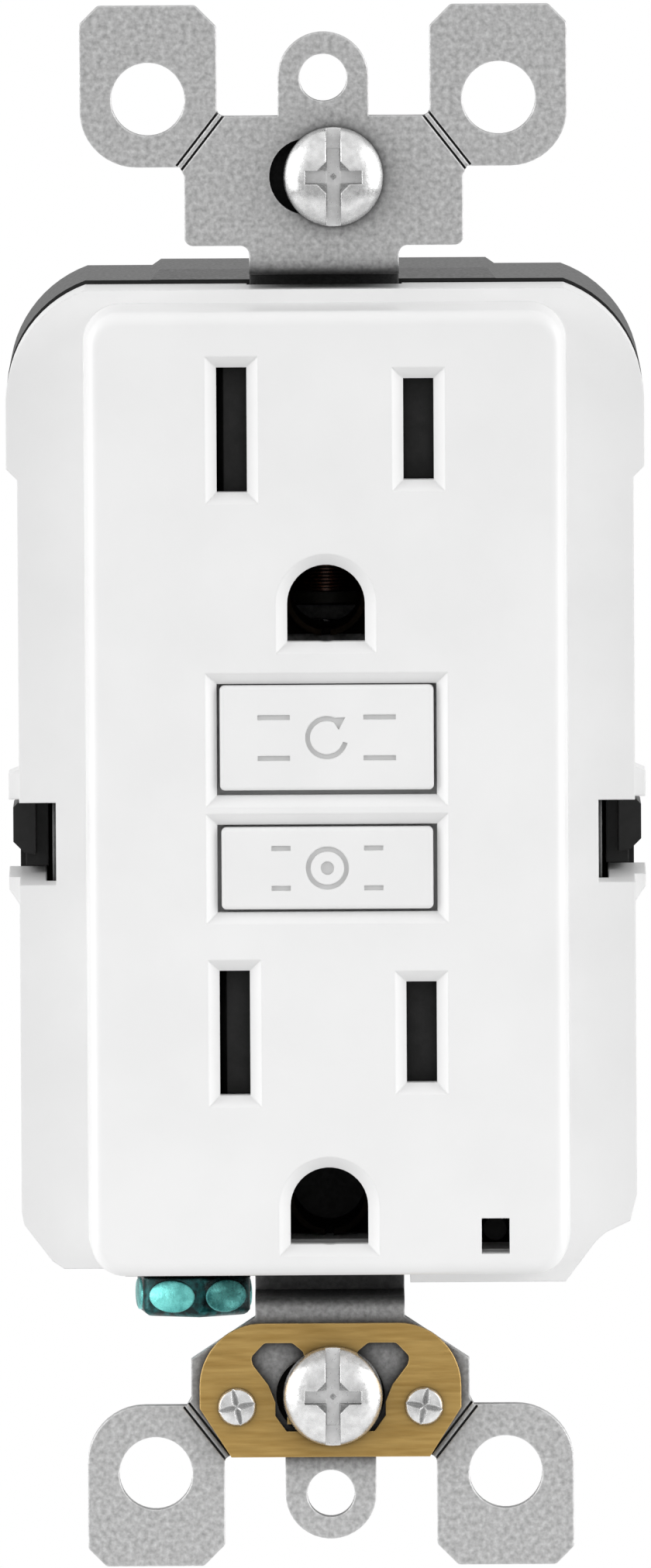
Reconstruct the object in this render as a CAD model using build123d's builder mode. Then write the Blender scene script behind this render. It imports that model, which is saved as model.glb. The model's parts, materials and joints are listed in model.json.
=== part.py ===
"""Ground-fault receptacle: two shuttered outlets, test and reset buttons, steel mounting strap.

Millimetres, +Z up. The origin is midway between the two wall-plate screw holes, on the front face of
the strap's ears. The face looks along -Y and the body goes back into the wall box along +Y.
"""
from build123d import *
import os

os.makedirs("parts", exist_ok=True)

# ---------------------------------------------------------------- driving dimensions
WALLPLATE_SPACING = 96.84
BOX_SCREW_SPACING = 83.34
BOX_SCREW_R = 1.75
BOX_SCREW_LENGTH = 24.00
BOX_SCREW_NECK_R = 1.45
BOX_SCREW_NECK_END = 3.20
BLADE_SPACING = 12.70
SLOT_LINE_Z = {"top": 24.80, "bottom": -16.30}
GROUND_DROP = 11.85

STRAP_T = 1.30
STRAP_INNER_FRONT = 6.20
STRAP_INNER_REAR = STRAP_INNER_FRONT + STRAP_T

FACE_Y = -7.50
FACE_INNER_Y = -5.50
SHOULDER_Y = -0.50
SHOULDER_INNER_Y = 1.30
COVER_REAR_Y = 7.50
COVER_TOP_Z = 34.02
COVER_WALL = 1.80
FACE_WIDTH = 33.00
FACE_HEIGHT = 66.30
FACE_CORNER_R = 2.60
FACE_DRAFT = 2.0
FACE_EDGE_R = 0.90
RIM_BEVEL = 0.78

SLOT_WIDTH = 2.06
NEUTRAL_SLOT_H = 8.50
HOT_SLOT_H = 6.90
GROUND_R = 2.64
GROUND_FLAT = 2.60

BUTTON_OPENING_W = 14.94
RESET_OPENING_H = 7.58
RESET_Z = 3.70
TEST_OPENING_H = 5.97
TEST_Z = -5.08

INDICATOR_X = 11.30
INDICATOR_Z = -30.20

HOUSING_FRONT_Y = 7.70
HOUSING_INNER_Y = 27.00
HOUSING_REAR_Y = 28.50
HOUSING_WALL = 1.60
HOUSING_TOP_Z = 34.28
HOUSING_RIB_TOP_Z = 34.70
HOUSING_RIB_RAMP_Y = 14.00
HOUSING_BACK_BEVEL = 0.30

TRAY_FLOOR_FRONT = 11.60
TRAY_FLOOR_REAR = 13.00
BOARD_FRONT = 23.00
BOARD_REAR = 24.60

ASSEMBLY_SCREWS = [(-15.8, 27.5), (15.8, 27.5), (-15.8, -27.0), (15.8, -27.0)]
ASSEMBLY_SCREW_R = 1.35

TERMINAL_Y = 15.00
TERMINAL_Z = {"load": 12.00, "line": -12.00}
BRACKET_INNER_X = 17.60
BRACKET_OUTER_X = 18.60
TERMINAL_SHANK_R = 1.90

PIN_R = 1.40
PIN_NECK_R = 0.90
ARM_X = 9.40
ARM_HINGE_Z = -10.10
CONTACT_Z = 0.50
LIFTER_FRONT = 14.25
SOLENOID_Y = 17.20
TRANSFORMER_Z = -21.50

GROUND_SCREW_X = -9.34
GROUND_SCREW_Y = 10.40
LUG_TOP_Z = -33.15
LUG_BOTTOM_Z = -34.00
CLIP_LOBE_R = 0.45
GROUND_HEAD_H = 2.85
GROUND_HEAD_R = 4.25
GROUND_HEAD_CORNER_R = 4.32
GROUND_HEAD_FOOT_R = 2.65
GROUND_HEAD_TURN = 36.6
GROUND_SHANK_R = 2.40
GROUND_SHANK_TOP_Z = -27.50

TOP_SCREW_X = 0.67
BOTTOM_SCREW_X = 0.17
CLIP_FRONT_Y = -0.70
RIVETS = [(-6.40, -42.40), (6.40, -42.40)]
RIVET_SHANK_R = 0.80

EAR_CREASE_MIDDLE = (8.40, 44.15)
EAR_CREASE_LENGTH = 4.70
EAR_CREASE_ANGLE = -52.0
EAR_CREASE_DEPTH = 0.30

CUT = Mode.SUBTRACT


# ---------------------------------------------------------------- drawing helpers
def level(y):
    """Drawing plane across the body at depth y: local x is +X, local y is +Z, extrusion goes to -Y."""
    return Plane.XZ.offset(-y)


def slab(xs, ys, zs, mode=Mode.ADD):
    """Box between two limits along each axis."""
    with Locations((sum(xs) / 2, sum(ys) / 2, sum(zs) / 2)):
        Box(xs[1] - xs[0], ys[1] - ys[0], zs[1] - zs[0], mode=mode)


def rod_y(x, z, ys, radius, mode=Mode.ADD):
    """Cylinder along the depth axis."""
    with Locations(Location((x, sum(ys) / 2, z), (90, 0, 0))):
        Cylinder(radius, ys[1] - ys[0], mode=mode)


def rod_x(y, z, xs, radius, mode=Mode.ADD):
    """Cylinder across the body."""
    with Locations(Location((sum(xs) / 2, y, z), (0, 90, 0))):
        Cylinder(radius, abs(xs[1] - xs[0]), mode=mode)


def rod_z(x, y, zs, radius, mode=Mode.ADD):
    """Cylinder along the height axis."""
    with Locations((x, y, sum(zs) / 2)):
        Cylinder(radius, zs[1] - zs[0], mode=mode)


def span(side, near, far):
    """Limits along X between two distances from the middle, on the given side."""
    return tuple(sorted((side * near, side * far)))


def finish(piece, label):
    """Name a finished piece and write its file."""
    piece.part.label = label
    export_step(piece.part, f"parts/{label}.step")


def body_outline(top=COVER_TOP_Z):
    """Outline of the moulded body: round upper corners, a small step in at the sides, cut lower corners."""
    with BuildSketch() as outline:
        with BuildLine():
            Line((-16.33, top), (16.33, top))
            RadiusArc((16.33, top), (21.75, 26.55), 8.20)
            Polyline((21.75, 26.55), (21.75, 21.85), (21.00, 21.10), (21.00, -27.90), (20.53, -29.80),
                     (18.84, -30.60), (18.13, -31.24), (16.10, -33.94), (5.50, -33.94), (5.50, -32.88),
                     (-18.10, -32.88), (-18.91, -32.35), (-20.83, -29.84), (-21.00, -28.97),
                     (-21.00, 21.10), (-21.75, 21.85), (-21.75, 26.55))
            RadiusArc((-21.75, 26.55), (-16.33, top), 8.20)
        make_face()
    return outline.sketch


def blade_slots(line_z):
    """The two blade slots of one outlet, neutral on the left and hot on the right."""
    with Locations((-BLADE_SPACING / 2, line_z)):
        Rectangle(SLOT_WIDTH, NEUTRAL_SLOT_H)
    with Locations((BLADE_SPACING / 2, line_z)):
        Rectangle(SLOT_WIDTH, HOT_SLOT_H)


def ground_hole(line_z):
    """Round-topped ground hole with a flat lower edge."""
    with Locations((0, line_z - GROUND_DROP)):
        Circle(GROUND_R)
    with Locations((0, line_z - GROUND_DROP - GROUND_FLAT / 2)):
        Rectangle(2 * GROUND_R, GROUND_FLAT)


def combination_recess(y_front):
    """Full-width slot, cross and centre of a combination drive, cut into a head whose crown is at y_front."""
    slab((-0.50, 0.50), (y_front - 0.1, y_front + 0.95), (-3.6, 3.6), mode=CUT)
    slab((-1.95, 1.95), (y_front - 0.1, y_front + 1.30), (-0.50, 0.50), mode=CUT)
    slab((-0.50, 0.50), (y_front - 0.1, y_front + 1.30), (-1.95, 1.95), mode=CUT)
    with BuildSketch(level(y_front + 1.20)) as middle:
        Rectangle(1.90, 1.90, rotation=45)
    extrude(middle.sketch, amount=1.40, mode=CUT)


# ---------------------------------------------------------------- front cover
with BuildPart() as front_cover:
    with BuildSketch(level(COVER_REAR_Y)):
        add(body_outline())
    extrude(amount=COVER_REAR_Y - SHOULDER_Y)
    with BuildSketch(level(SHOULDER_INNER_Y)):
        RectangleRounded(FACE_WIDTH, FACE_HEIGHT, FACE_CORNER_R)
    extrude(amount=SHOULDER_INNER_Y - FACE_Y, taper=FACE_DRAFT)
    fillet(front_cover.faces().sort_by(Axis.Y)[0].edges(), FACE_EDGE_R)

    with BuildSketch(level(COVER_REAR_Y)):
        add(body_outline())
        offset(amount=-COVER_WALL, kind=Kind.INTERSECTION)
    extrude(amount=COVER_REAR_Y - SHOULDER_INNER_Y, mode=CUT)
    with BuildSketch(level(SHOULDER_INNER_Y)):
        RectangleRounded(FACE_WIDTH - 2 * COVER_WALL, FACE_HEIGHT - 2 * COVER_WALL, 1.2)
    extrude(amount=SHOULDER_INNER_Y - FACE_INNER_Y, mode=CUT)

    with BuildSketch(level(FACE_INNER_Y)):
        for line_z in SLOT_LINE_Z.values():
            blade_slots(line_z)
            ground_hole(line_z)
        with Locations((0, RESET_Z)):
            Rectangle(BUTTON_OPENING_W, RESET_OPENING_H)
        with Locations((0, TEST_Z)):
            Rectangle(BUTTON_OPENING_W, TEST_OPENING_H)
    extrude(amount=FACE_INNER_Y - FACE_Y, mode=CUT)
    rims = front_cover.faces().sort_by(Axis.Y)[0].inner_wires()
    chamfer([edge for rim in rims for edge in rim.edges()], RIM_BEVEL)
    slab((INDICATOR_X - 0.95, INDICATOR_X + 0.95), (FACE_Y - 1, FACE_INNER_Y + 1),
         (INDICATOR_Z - 1.21, INDICATOR_Z + 1.21), mode=CUT)

    for boss_x, boss_z in ASSEMBLY_SCREWS:
        rod_y(boss_x, boss_z, (SHOULDER_INNER_Y - 0.5, COVER_REAR_Y - 0.1), 2.80)
        rod_y(boss_x, boss_z, (2.20, COVER_REAR_Y), ASSEMBLY_SCREW_R + 0.05, mode=CUT)
    for side in (-1, 1):
        # side wings near the joint, then the notch that passes through shoulder, wall and wing
        with BuildSketch(level(COVER_REAR_Y)):
            with BuildLine():
                Polyline((side * 20.0, 1.50), (side * 21.75, 0.75), (side * 21.75, -7.10),
                         (side * 21.00, -8.20), (side * 20.0, -8.20), close=True)
            make_face()
        extrude(amount=4.50)
        slab(span(side, 18.50, 22.50), (SHOULDER_Y - 1, COVER_REAR_Y + 1), (-5.85, -0.97), mode=CUT)
        with BuildSketch(Plane.YZ.offset(18.50 if side > 0 else -22.50)):
            with BuildLine():
                Polyline((SHOULDER_Y - 0.1, -5.8), (SHOULDER_Y - 0.1, -6.60), (COVER_REAR_Y, -5.85),
                         (COVER_REAR_Y, -5.8), close=True)
            make_face()
        extrude(amount=4.0, mode=CUT)
    # passages for the strap's neck at both ends
    slab((-5.30, 5.30), (6.00, COVER_REAR_Y + 1), (30.0, 36.0), mode=CUT)
    slab((-5.50, 5.45), (6.00, COVER_REAR_Y + 1), (-36.0, -30.0), mode=CUT)
finish(front_cover, "front_cover")

# ---------------------------------------------------------------- buttons
for label, middle_z, cap_w, cap_h, flange_h in (("reset_button", 3.83, 14.55, 7.15, 8.40),
                                                ("test_button", -5.06, 14.40, 5.60, 6.60)):
    with BuildPart() as button:
        with BuildSketch(level(-5.10)):
            with Locations((0, middle_z)):
                RectangleRounded(cap_w, cap_h, 0.35)
        extrude(amount=2.15)
        fillet(button.faces().sort_by(Axis.Y)[0].edges(), 0.30)
        slab((-8.20, 8.20), (-5.15, -4.15), (middle_z - flange_h / 2, middle_z + flange_h / 2))
        if label == "reset_button":
            slab((-4.0, 4.0), (-4.20, -2.00), (RESET_Z - 3.0, RESET_Z + 3.0))
            rod_y(0, RESET_Z, (-3.60, -1.90), PIN_R + 0.05, mode=CUT)
        else:
            slab((-3.5, 3.5), (-4.20, -3.00), (TEST_Z - 2.0, TEST_Z + 2.0))
            rod_y(2.20, TEST_Z, (-3.10, 6.60), 1.00)
    finish(button, label)

with BuildPart() as reset_pin:
    rod_y(0, RESET_Z, (-3.55, 13.80), PIN_R)
    rod_y(0, RESET_Z, (13.70, 18.60), PIN_NECK_R)
    rod_y(0, RESET_Z, (18.50, 20.20), PIN_R)
    fillet(reset_pin.faces().sort_by(Axis.Y)[-1].edges(), 0.6)
finish(reset_pin, "reset_pin")

with BuildPart() as reset_spring:
    # drawn at its pressed length, so the cap has its whole travel in front of it
    rod_y(0, RESET_Z, (0.20, 8.90), 2.60)
    rod_y(0, RESET_Z, (0.10, 9.00), 1.90, mode=CUT)
finish(reset_spring, "reset_spring")

# ---------------------------------------------------------------- mounting strap and what it carries
def strap_end(top):
    """Half outline of one strap end, on the +X side, from the inner end out to the tongue."""
    ear = [(7.25, 45.8), (7.25, 51.90), (8.70, 53.35), (15.35, 53.35), (16.60, 52.10), (16.60, 46.25)]
    inner = [(9.80, 42.35), (9.50, 41.80), (9.50, 36.97), (5.10, 36.97)]
    if not top:
        inner = [(9.80, 42.35), (9.50, 41.80), (9.50, 39.20), (5.10, 36.30)]
    with BuildSketch() as end:
        with BuildLine():
            Line((0, 45.8), (7.25, 45.8))
            Polyline(*ear)
            RadiusArc((16.60, 46.25), (12.70, 42.35), 3.90)
            Polyline((12.70, 42.35), *inner, (5.10, 34.95), (0, 34.95))
            Line((0, 34.95), (0, 45.8))
        make_face()
        fillet(end.vertices().filter_by_position(Axis.X, 5.0, 9.55).filter_by_position(Axis.Y, 36.9, 37.0), 0.6)
        fillet(end.vertices().filter_by_position(Axis.X, 7.2, 7.3).filter_by_position(Axis.Y, 45.7, 45.9), 0.5)
        fillet(end.vertices().filter_by_position(Axis.Y, 51.8, 53.4), 0.4)
    return end.sketch


def ear_creases(top):
    """Pair of scored lines across the root of each ear, where it snaps off."""
    end = 1 if top else -1
    with BuildSketch() as creases:
        for side in (-1, 1):
            middle_x, middle_z = EAR_CREASE_MIDDLE
            with Locations(Location((side * middle_x, end * middle_z, 0), (0, 0, side * end * EAR_CREASE_ANGLE))):
                with Locations((0, -0.22), (0, 0.22)):
                    Rectangle(EAR_CREASE_LENGTH, 0.16)
    return creases.sketch


with BuildPart() as mounting_strap:
    for end in (1, -1):
        half = strap_end(end > 0)
        with BuildSketch(level(STRAP_T)):
            add(half)
            add(mirror(half, about=Plane.YZ))
            with Locations((0, WALLPLATE_SPACING / 2)):
                Circle(3.10)
            with Locations((0, 45.0)):
                Rectangle(6.20, 2 * (WALLPLATE_SPACING / 2 - 45.0))
            with Locations((0, WALLPLATE_SPACING / 2)):
                Circle(1.62, mode=CUT)
            with Locations((-11.95, 46.99), (11.95, 46.99)):
                Circle(2.50, mode=CUT)
            with Locations((0, BOX_SCREW_SPACING / 2)):
                SlotOverall(7.40, 5.20, mode=CUT)
            if end < 0:
                mirror(about=Plane.XZ, mode=Mode.REPLACE)
                with Locations(*RIVETS):
                    Circle(RIVET_SHANK_R + 0.05, mode=CUT)
        extrude(amount=STRAP_T)
        extrude(ear_creases(end > 0).moved(Location((0, 0, 0), (90, 0, 0))), amount=-EAR_CREASE_DEPTH, mode=CUT)
        # the neck steps back behind the cover, with a round bend at the front
        neck = (34.95, 36.25) if end > 0 else (-36.25, -34.95)
        slab((-5.10, 5.10), (0, STRAP_INNER_REAR), neck)
        slab((-5.10, 5.10), (STRAP_INNER_FRONT, STRAP_INNER_REAR), tuple(sorted((end * 30.5, end * 35.0))))
    slab((-3.90, 3.90), (STRAP_INNER_FRONT, STRAP_INNER_REAR), (-34.95, 34.95))
    for line_z in SLOT_LINE_Z.values():
        ground_z = line_z - GROUND_DROP
        slab((-5.40, 5.40), (STRAP_INNER_FRONT, STRAP_INNER_REAR), (ground_z - 2.90, ground_z + 2.90))
    slab((-18.75, 18.75), (STRAP_INNER_FRONT, STRAP_INNER_REAR), (-12.50, 10.50))
    for line_z in SLOT_LINE_Z.values():
        rod_y(0, line_z - GROUND_DROP, (0, 10), 2.95, mode=CUT)
    slab((-10.50, 10.50), (0, 10), (-10.30, 8.60), mode=CUT)
    for side in (-1, 1):
        slab(span(side, 17.55, 18.75), (1.60, STRAP_INNER_REAR), (-6.60, -0.80))
    # lug for the ground screw
    slab((-14.0, -4.50), (STRAP_INNER_FRONT, 14.60), (LUG_BOTTOM_Z, LUG_TOP_Z))
    rod_z(GROUND_SCREW_X, GROUND_SCREW_Y, (-36, -32), 2.50, mode=CUT)
    crowns = mounting_strap.edges().filter_by(Axis.X).filter_by_position(Axis.Y, -0.01, 0.01)
    fillet([edge for edge in crowns if abs(abs(edge.center().Z) - 34.95) < 0.01], 1.0)
finish(mounting_strap, "mounting_strap")


def clip_lobe():
    """Left half of the cut that frees the spring tongue: a rounded lobe, then a channel down beside the screw."""
    with BuildSketch() as lobe:
        with BuildLine():
            Polyline((-5.42, -39.00), (-4.50, -38.03), (-2.59, -38.03), (-1.80, -38.68), (-1.80, -39.40),
                     (-2.95, -40.40), (-2.95, -43.60), (0, -43.60), (0, -44.10), (-3.00, -44.10),
                     (-3.77, -43.03), (-3.77, -42.10), (-4.24, -40.92), (-5.29, -39.54), close=True)
        make_face()
        fillet([corner for corner in lobe.vertices() if corner.Y > -41.0], CLIP_LOBE_R)
    return lobe.sketch


with BuildPart() as grounding_clip:
    with BuildSketch(level(0)):
        with BuildLine():
            Polyline((-8.93, -41.00), (-8.93, -42.50), (-6.78, -45.86), (6.78, -45.86), (8.93, -42.50),
                     (8.93, -41.00))
            RadiusArc((8.93, -41.00), (4.63, -36.70), -4.30)
            Line((4.63, -36.70), (-4.63, -36.70))
            RadiusArc((-4.63, -36.70), (-8.93, -41.00), -4.30)
        make_face()
        add(clip_lobe(), mode=CUT)
        add(mirror(clip_lobe(), about=Plane.YZ), mode=CUT)
        with Locations((0, -BOX_SCREW_SPACING / 2)):
            SlotOverall(5.00, 3.90, mode=CUT)
        with Locations(*RIVETS):
            Circle(RIVET_SHANK_R + 0.05, mode=CUT)
    extrude(amount=-CLIP_FRONT_Y)
finish(grounding_clip, "grounding_clip")

with BuildPart() as clip_rivets:
    for rivet_x, rivet_z in RIVETS:
        rod_y(rivet_x, rivet_z, (CLIP_FRONT_Y - 0.40, CLIP_FRONT_Y), 1.30)
        rod_y(rivet_x, rivet_z, (CLIP_FRONT_Y - 0.10, STRAP_T + 0.10), RIVET_SHANK_R)
        rod_y(rivet_x, rivet_z, (STRAP_T, STRAP_T + 0.50), 1.20)
finish(clip_rivets, "clip_rivets")

for end, screw_x, screw_z, seat_y in (("top", TOP_SCREW_X, BOX_SCREW_SPACING / 2, 0.0),
                                      ("bottom", BOTTOM_SCREW_X, -BOX_SCREW_SPACING / 2, CLIP_FRONT_Y)):
    with BuildPart() as box_screw:
        with BuildSketch(Plane.XY):
            with BuildLine():
                Polyline((0, -0.05), (3.40, -0.05), (3.40, -0.40))
                ThreePointArc((3.40, -0.40), (1.85, -1.55), (0, -1.95))
                Line((0, -1.95), (0, -0.05))
            make_face()
        revolve(axis=Axis.Y)
        rod_y(0, 0, (-0.30, BOX_SCREW_NECK_END + 0.10), BOX_SCREW_NECK_R)
        rod_y(0, 0, (BOX_SCREW_NECK_END, BOX_SCREW_LENGTH), BOX_SCREW_R)
        combination_recess(-1.95)
        chamfer(box_screw.faces().sort_by(Axis.Y)[-1].edges(), 0.6)
    box_screw.part.locate(Location((screw_x, seat_y, screw_z)))
    finish(box_screw, f"box_screw_{end}")
    with BuildPart() as screw_washer:
        with BuildSketch(level(STRAP_T + 0.85)):
            with Locations((screw_x, screw_z)):
                RectangleRounded(8.90, 6.80, 1.00)
        extrude(amount=0.80)
        rod_y(screw_x, screw_z, (STRAP_T - 1, STRAP_T + 2), 1.85, mode=CUT)
    finish(screw_washer, f"screw_washer_{end}")

with BuildPart() as ground_screw:
    head_top = LUG_BOTTOM_Z - 0.05
    head_bottom = head_top - GROUND_HEAD_H
    with BuildSketch(Plane.XZ):
        with BuildLine():
            Polyline((0, head_top), (3.35, head_top), (GROUND_HEAD_R, head_top - 0.50),
                     (GROUND_HEAD_R, head_bottom + 1.10), (GROUND_HEAD_FOOT_R + 0.45, head_bottom + 0.15),
                     (GROUND_HEAD_FOOT_R, head_bottom),
                     (0, head_bottom), close=True)
        make_face()
    revolve(axis=Axis.Z)
    with BuildSketch(Plane.XY.offset(head_bottom)):
        RegularPolygon(GROUND_HEAD_CORNER_R, 6, rotation=GROUND_HEAD_TURN)
    extrude(amount=GROUND_HEAD_H, mode=Mode.INTERSECT)
    rod_z(0, 0, (head_top - 0.5, GROUND_SHANK_TOP_Z), GROUND_SHANK_R)
ground_screw.part.locate(Location((GROUND_SCREW_X, GROUND_SCREW_Y, 0)))
finish(ground_screw, "ground_screw")

with BuildPart() as ground_contacts:
    for line_z in SLOT_LINE_Z.values():
        ground_z = line_z - GROUND_DROP
        rod_y(0, ground_z, (3.60, 12.40), 2.85)
        slab((-5.20, 5.20), (STRAP_INNER_FRONT - 0.50, STRAP_INNER_FRONT), (ground_z - 2.85, ground_z + 2.85))
        rod_y(0, ground_z, (3.00, 13.00), 2.45, mode=CUT)
        slab((-0.30, 0.30), (3.50, 5.60), (ground_z - 3, ground_z + 3), mode=CUT)
finish(ground_contacts, "ground_contacts")

# ---------------------------------------------------------------- shutters
for end, line_z in SLOT_LINE_Z.items():
    with BuildPart() as shutter_frame:
        slab((-10.60, 13.80), (-5.40, -1.60), (line_z - 6.0, line_z + 6.0))
        slab((-9.90, 13.20), (-6.0, -2.60), (line_z - 5.0, line_z + 5.0), mode=CUT)
        for side in (-1, 1):
            middle = side * BLADE_SPACING / 2
            slab((middle - 1.2, middle + 1.2), (-3, 0), (line_z - 4.5, line_z + 4.5), mode=CUT)
    finish(shutter_frame, f"shutter_frame_{end}")

    with BuildPart() as shutter_slider:
        slab((-8.10, 8.60), (-5.20, -3.20), (line_z - 4.60, line_z + 4.60))
        slab((2.20, 4.50), (-6.0, 0), (line_z - 3.90, line_z + 3.90), mode=CUT)
        ramps = shutter_slider.edges().filter_by(Axis.Z).filter_by_position(Axis.Y, -5.21, -5.19)
        chamfer(ramps.sort_by(Axis.X)[0], 1.2)
    finish(shutter_slider, f"shutter_slider_{end}")

with BuildPart() as shutter_springs:
    # drawn pressed, in the last part of the frame
    for line_z in SLOT_LINE_Z.values():
        rod_x(-4.20, line_z, (11.80, 13.20), 0.95)
        rod_x(-4.20, line_z, (11.70, 13.30), 0.65, mode=CUT)
finish(shutter_springs, "shutter_springs")

# ---------------------------------------------------------------- middle housing
with BuildPart() as middle_housing:
    slab((-12.30, 12.30), (7.60, TRAY_FLOOR_REAR), (-24.9, 31.0))
    slab((-11.10, 11.10), (7.0, TRAY_FLOOR_FRONT), (-23.7, 29.8), mode=CUT)
    for side in (-1, 1):
        slab(span(side, 3.90, 4.70), (7.60, TRAY_FLOOR_FRONT + 0.5), (-24.0, 30.0))
        slab(span(side, 10.0, 13.0), (7.0, 9.30), (9.20, 14.80), mode=CUT)
        rod_y(side * ARM_X, CONTACT_Z, (11.0, 14.0), 1.90, mode=CUT)
    rod_y(0, RESET_Z, (9.00, TRAY_FLOOR_REAR), 3.20)
    rod_y(0, RESET_Z, (8.00, 14.0), 1.80, mode=CUT)
    rod_y(0, SLOT_LINE_Z["top"] - GROUND_DROP, (7.0, 14.0), 3.20, mode=CUT)
finish(middle_housing, "middle_housing")

# ---------------------------------------------------------------- current path
for label, side in (("hot_load_contact", 1), ("neutral_load_contact", -1)):
    with BuildPart() as load_contact:
        for line_z in SLOT_LINE_Z.values():
            heights = (line_z - 3.60, line_z + 3.60)
            slab(span(side, 5.10, 5.70), (-1.0, 11.50), heights)
            slab(span(side, 7.00, 7.60), (-1.0, 11.50), heights)
            slab(span(side, 5.10, 7.60), (10.90, 11.50), heights)
        slab(span(side, 7.00, 7.60), (8.40, 11.50), (-19.90, 28.40))
        slab(span(side, 7.00, 10.90), (10.90, 11.50), (CONTACT_Z - 1.6, CONTACT_Z + 1.6))
        slab(span(side, 7.00, BRACKET_OUTER_X), (8.40, 9.00), (9.50, 14.50))
        slab(span(side, BRACKET_INNER_X, BRACKET_OUTER_X), (8.40, 20.0), (7.60, 16.40))
        rod_x(TERMINAL_Y, TERMINAL_Z["load"], span(side, 17, 19), TERMINAL_SHANK_R + 0.3, mode=CUT)
    finish(load_contact, label)

with BuildPart() as fixed_contact_tips:
    for side in (-1, 1):
        rod_y(side * ARM_X, CONTACT_Z, (11.50, 12.10), 1.40)
finish(fixed_contact_tips, "fixed_contact_tips")

for name, side in (("hot", 1), ("neutral", -1)):
    with BuildPart() as line_terminal:
        slab(span(side, BRACKET_INNER_X, BRACKET_OUTER_X), (9.50, 20.80), (-16.40, -7.60))
        rod_x(TERMINAL_Y, TERMINAL_Z["line"], span(side, 17, 19), TERMINAL_SHANK_R + 0.3, mode=CUT)
        slab(span(side, 12.40, BRACKET_OUTER_X), (20.0, 20.80), (-13.50, -10.50))
        slab(span(side, 12.40, 13.20), (20.0, BOARD_FRONT), (-13.50, -10.50))
    finish(line_terminal, f"line_{name}_terminal")

    with BuildPart() as line_arm:
        slab(span(side, ARM_X - 1.4, ARM_X + 1.4), (13.40, 13.90), (ARM_HINGE_Z - 0.6, CONTACT_Z + 1.6))
        rod_y(side * ARM_X, CONTACT_Z, (12.20, 13.50), 1.30)
    finish(line_arm, f"line_{name}_arm")

with BuildPart() as arm_posts:
    for side in (-1, 1):
        slab(span(side, 8.20, 10.60), (14.10, BOARD_FRONT), (-11.40, -9.60))
finish(arm_posts, "arm_posts")

# ---------------------------------------------------------------- test contact
with BuildPart() as test_contact_blade:
    slab((-2.50, 3.20), (7.00, 7.30), (TEST_Z - 1.0, TEST_Z + 1.0))
finish(test_contact_blade, "test_contact_blade")

with BuildPart() as test_contact_posts:
    slab((-2.70, -1.90), (7.55, TRAY_FLOOR_FRONT), (TEST_Z - 1.0, TEST_Z + 1.0))
    slab((2.60, 3.40), (9.60, TRAY_FLOOR_FRONT), (TEST_Z - 1.0, TEST_Z + 1.0))
finish(test_contact_posts, "test_contact_posts")

# ---------------------------------------------------------------- trip mechanism
with BuildPart() as lifter_block:
    slab((-5.50, 5.50), (LIFTER_FRONT, 18.40), (-0.80, 7.40))
    slab((-11.0, 11.0), (LIFTER_FRONT, 16.0), (CONTACT_Z - 1.2, CONTACT_Z + 1.2))
    slab((-3.50, 3.50), (15.90, 16.90), (-2.0, 9.0), mode=CUT)
    rod_y(0, RESET_Z, (13.0, 20.0), 1.75, mode=CUT)
finish(lifter_block, "lifter_block")

with BuildPart() as latch_plate:
    slab((-3.30, 3.30), (16.0, 16.80), (-2.40, 9.60))
    slab((-1.10, 1.10), (15.0, 18.0), (2.40, 5.70), mode=CUT)
    rod_y(0, 5.70, (15.0, 18.0), 1.75, mode=CUT)
finish(latch_plate, "latch_plate")

with BuildPart() as solenoid_frame:
    slab((-4.20, 4.20), (13.30, 22.30), (10.60, 11.60))
    slab((-4.20, 4.20), (13.30, 22.30), (24.40, 25.40))
    slab((-4.20, 4.20), (21.30, 22.30), (10.60, 25.40))
    rod_z(0, SOLENOID_Y, (10, 26), 1.65, mode=CUT)
finish(solenoid_frame, "solenoid_frame")

with BuildPart() as solenoid_bobbin:
    rod_z(0, SOLENOID_Y, (11.70, 24.30), 2.10)
    for flange in ((11.70, 12.50), (23.50, 24.30)):
        rod_z(0, SOLENOID_Y, flange, 3.95)
    rod_z(0, SOLENOID_Y, (11, 25), 1.65, mode=CUT)
finish(solenoid_bobbin, "solenoid_bobbin")

with BuildPart() as solenoid_coil:
    rod_z(0, SOLENOID_Y, (12.55, 23.45), 3.70)
    rod_z(0, SOLENOID_Y, (12, 24), 2.15, mode=CUT)
finish(solenoid_coil, "solenoid_coil")

with BuildPart() as plunger:
    rod_z(0, SOLENOID_Y, (9.80, 29.90), PIN_R)
    rod_z(0, SOLENOID_Y, (28.90, 29.90), 2.60)
finish(plunger, "plunger")

with BuildPart() as plunger_spring:
    rod_z(0, SOLENOID_Y, (25.45, 28.85), 2.40)
    rod_z(0, SOLENOID_Y, (25.0, 29.0), 1.70, mode=CUT)
finish(plunger_spring, "plunger_spring")

# ---------------------------------------------------------------- sensing transformer
with BuildPart() as transformer_case:
    rod_y(0, TRANSFORMER_Z, (13.40, 22.60), 9.30)
    rod_y(0, TRANSFORMER_Z, (14.20, 21.80), 8.50, mode=CUT)
    rod_y(0, TRANSFORMER_Z, (13.40, 22.60), 3.80)
    rod_y(0, TRANSFORMER_Z, (13.0, 23.0), 3.00, mode=CUT)
finish(transformer_case, "transformer_case")

with BuildPart() as transformer_cores:
    for ys in ((14.40, 17.80), (18.20, 21.60)):
        rod_y(0, TRANSFORMER_Z, ys, 8.30)
    rod_y(0, TRANSFORMER_Z, (13.0, 23.0), 4.00, mode=CUT)
finish(transformer_cores, "transformer_cores")

with BuildPart() as line_conductors:
    for side in (-1, 1):
        rod_y(side * 1.5, TRANSFORMER_Z, (13.20, BOARD_FRONT), 0.80)
finish(line_conductors, "line_conductors")

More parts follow.
